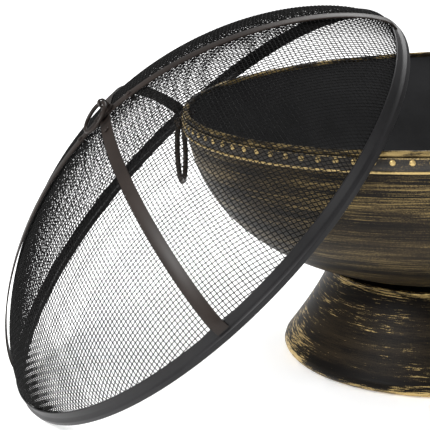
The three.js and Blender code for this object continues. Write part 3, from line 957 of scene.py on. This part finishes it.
def swap_bolt(node, shank):
    """A smooth bolt in place of a CAD one that stands along the screen's own axis."""
    back = screen_frame().inverted()
    corners = np.array([back @ v.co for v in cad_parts[node].data.vertices])
    low, high = corners.min(0), corners.max(0)
    x, y = (low[:2] + high[:2]) / 2
    face = high[2] - shank * 1.1
    head = moved(domed_head(shank), Matrix.Translation((x, y, face)))
    stem = rod((x, y, low[2]), (x, y, face + 0.2 * MM), shank * 0.98)
    bm = moved(merged(head, stem), screen_frame())
    piece(node + "_round", bm, "fastener", "screen", node)


class FIREPIT_OT_lift(bpy.types.Operator):
    """Build the lift ring and the clip that holds it at the straps' crossing"""

    bl_idname = "firepit.lift"
    bl_label = "Lift ring"

    major = 23 * MM
    wire = 2.8 * MM
    behind = 12 * MM  # from the straps' crossing to the eye
    turn = math.radians(126)
    lies = math.radians(13)

    def execute(self, context):
        p = context.scene.firepit_screen
        place = screen_frame() @ Matrix.Rotation(p.strap_turn + self.turn, 4, "Z")
        back = place.inverted()
        corners = np.array([back @ v.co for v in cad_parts["lift_clip"].data.vertices])
        under = corners[:, 2].min()
        eye = Vector((-self.behind, 0, under + LIFT_CLIP["wall"] + LIFT_CLIP["rise"]))
        at_eye = place @ Matrix.Translation(eye)
        clip = eye_clip([(self.behind, 0, CROWN_BOLT + SHANK_FIT)], **LIFT_CLIP)
        moved(clip, at_eye)
        piece("clip_of_ring", clip, "strap", "screen", "lift_clip")
        ring = moved(torus(self.major, self.wire, 64), Matrix.Translation((self.major, 0, 0)))
        moved(ring, at_eye @ Matrix.Rotation(self.lies, 4, "Y"))
        piece("ring_to_lift", ring, "strap", "lift_ring", "lift_ring")
        return {"FINISHED"}


class FIREPIT_OT_stage(bpy.types.Operator):
    """Lay the pale floor and set the soft lights and the camera"""

    bl_idname = "firepit.stage"
    bl_label = "Stage"

    def execute(self, context):
        scene = context.scene
        bm = bmesh.new()
        bmesh.ops.create_grid(bm, x_segments=8, y_segments=8, size=14)
        mesh = bpy.data.meshes.new("floor")
        bm.to_mesh(mesh)
        bm.free()
        floor = bpy.data.objects.new("floor", mesh)
        scene.collection.objects.link(floor)
        s = Shader("studio_floor")
        paint = s.finish(
            Base_Color=colours()["floor"],
            Roughness=1.0,
            Emission_Color=(1, 1, 1),
            Emission_Strength=0.3,
        )
        mesh.materials.append(paint)

        world = bpy.data.worlds.new("studio")
        world.use_nodes = True
        tree = world.node_tree
        background = tree.nodes["Background"]
        background.inputs["Color"].default_value = (1, 1, 1, 1)
        paths = tree.nodes.new("ShaderNodeLightPath")
        strength = tree.nodes.new("ShaderNodeMath")
        strength.operation = "MULTIPLY_ADD"
        strength.inputs[1].default_value = -0.72
        strength.inputs[2].default_value = 1.0
        tree.links.new(paths.outputs["Is Glossy Ray"], strength.inputs[0])
        tree.links.new(strength.outputs[0], background.inputs["Strength"])
        scene.world = world
        for name, spot, size, power in (
            ("key", (-1.9, -1.4, 1.9), 0.9, 70),
            ("fill", (2.4, -1.6, 1.3), 1.8, 20),
            ("back", (0.4, 2.2, 2.2), 1.8, 40),
        ):
            lamp = bpy.data.lights.new(name, "AREA")
            lamp.shape = "DISK"
            lamp.size = size
            lamp.energy = power
            made = bpy.data.objects.new(name, lamp)
            way = Vector((0.05, 0.0, 0.28)) - Vector(spot)
            aim = way.to_track_quat("-Z", "Y").to_matrix().to_4x4()
            made.matrix_world = Matrix.Translation(spot) @ aim
            scene.collection.objects.link(made)

        lens = bpy.data.cameras.new("view")
        lens.sensor_width = 36
        lens.lens = CAMERA_LENS
        lens.clip_end = 60
        camera = bpy.data.objects.new("view", lens)
        yaw, down, roll = CAMERA_YAW, CAMERA_DOWN, CAMERA_ROLL
        ahead = Vector(
            (math.sin(yaw) * math.cos(down), math.cos(yaw) * math.cos(down), -math.sin(down))
        )
        right = Vector((math.cos(yaw), -math.sin(yaw), 0))
        low = ahead.cross(right)
        across = math.cos(roll) * right - math.sin(roll) * low
        below = math.sin(roll) * right + math.cos(roll) * low
        turn = Matrix((across, -below, -ahead)).transposed().to_4x4()
        x, y = CAMERA_FROM_BOWL
        stand = Matrix.Translation((BOWL_AXIS.x + x, BOWL_AXIS.y + y, CAMERA_HEIGHT))
        camera.matrix_world = stand @ turn
        scene.collection.objects.link(camera)
        scene.camera = camera
        scene.view_settings.view_transform = "Standard"
        return {"FINISHED"}


class FIREPIT_PT_panel(bpy.types.Panel):
    """Fire pit builders in the sidebar"""

    bl_label = "Fire Pit"
    bl_idname = "FIREPIT_PT_panel"
    bl_space_type = "VIEW_3D"
    bl_region_type = "UI"
    bl_category = "Fire Pit"

    def draw(self, context):
        for group in ("firepit_bowl", "firepit_screen", "firepit_finish"):
            box = self.layout.box()
            sizes = getattr(context.scene, group)
            for key in sizes.__annotations__:
                box.prop(sizes, key)
        for builder in BUILDERS:
            self.layout.operator(builder.bl_idname)


BUILDERS = (
    FIREPIT_OT_stage,
    FIREPIT_OT_pedestal,
    FIREPIT_OT_bowl,
    FIREPIT_OT_rim_band,
    FIREPIT_OT_handles,
    FIREPIT_OT_grate,
    FIREPIT_OT_hoop,
    FIREPIT_OT_mesh,
    FIREPIT_OT_straps,
    FIREPIT_OT_lift,
)
GROUPS = {
    "firepit_bowl": FIREPIT_PG_bowl,
    "firepit_screen": FIREPIT_PG_screen,
    "firepit_finish": FIREPIT_PG_finish,
}


def register():
    for kind in (*GROUPS.values(), *BUILDERS, FIREPIT_PT_panel):
        bpy.utils.register_class(kind)
    for name, group in GROUPS.items():
        setattr(bpy.types.Scene, name, PointerProperty(type=group))


def unregister():
    for name in GROUPS:
        delattr(bpy.types.Scene, name)
    for kind in (FIREPIT_PT_panel, *reversed(BUILDERS), *reversed(GROUPS.values())):
        bpy.utils.unregister_class(kind)


def main():
    register()
    for builder in BUILDERS:
        group, name = builder.bl_idname.split(".")
        getattr(getattr(bpy.ops, group), name)()


if __name__ == "__main__":
    main()
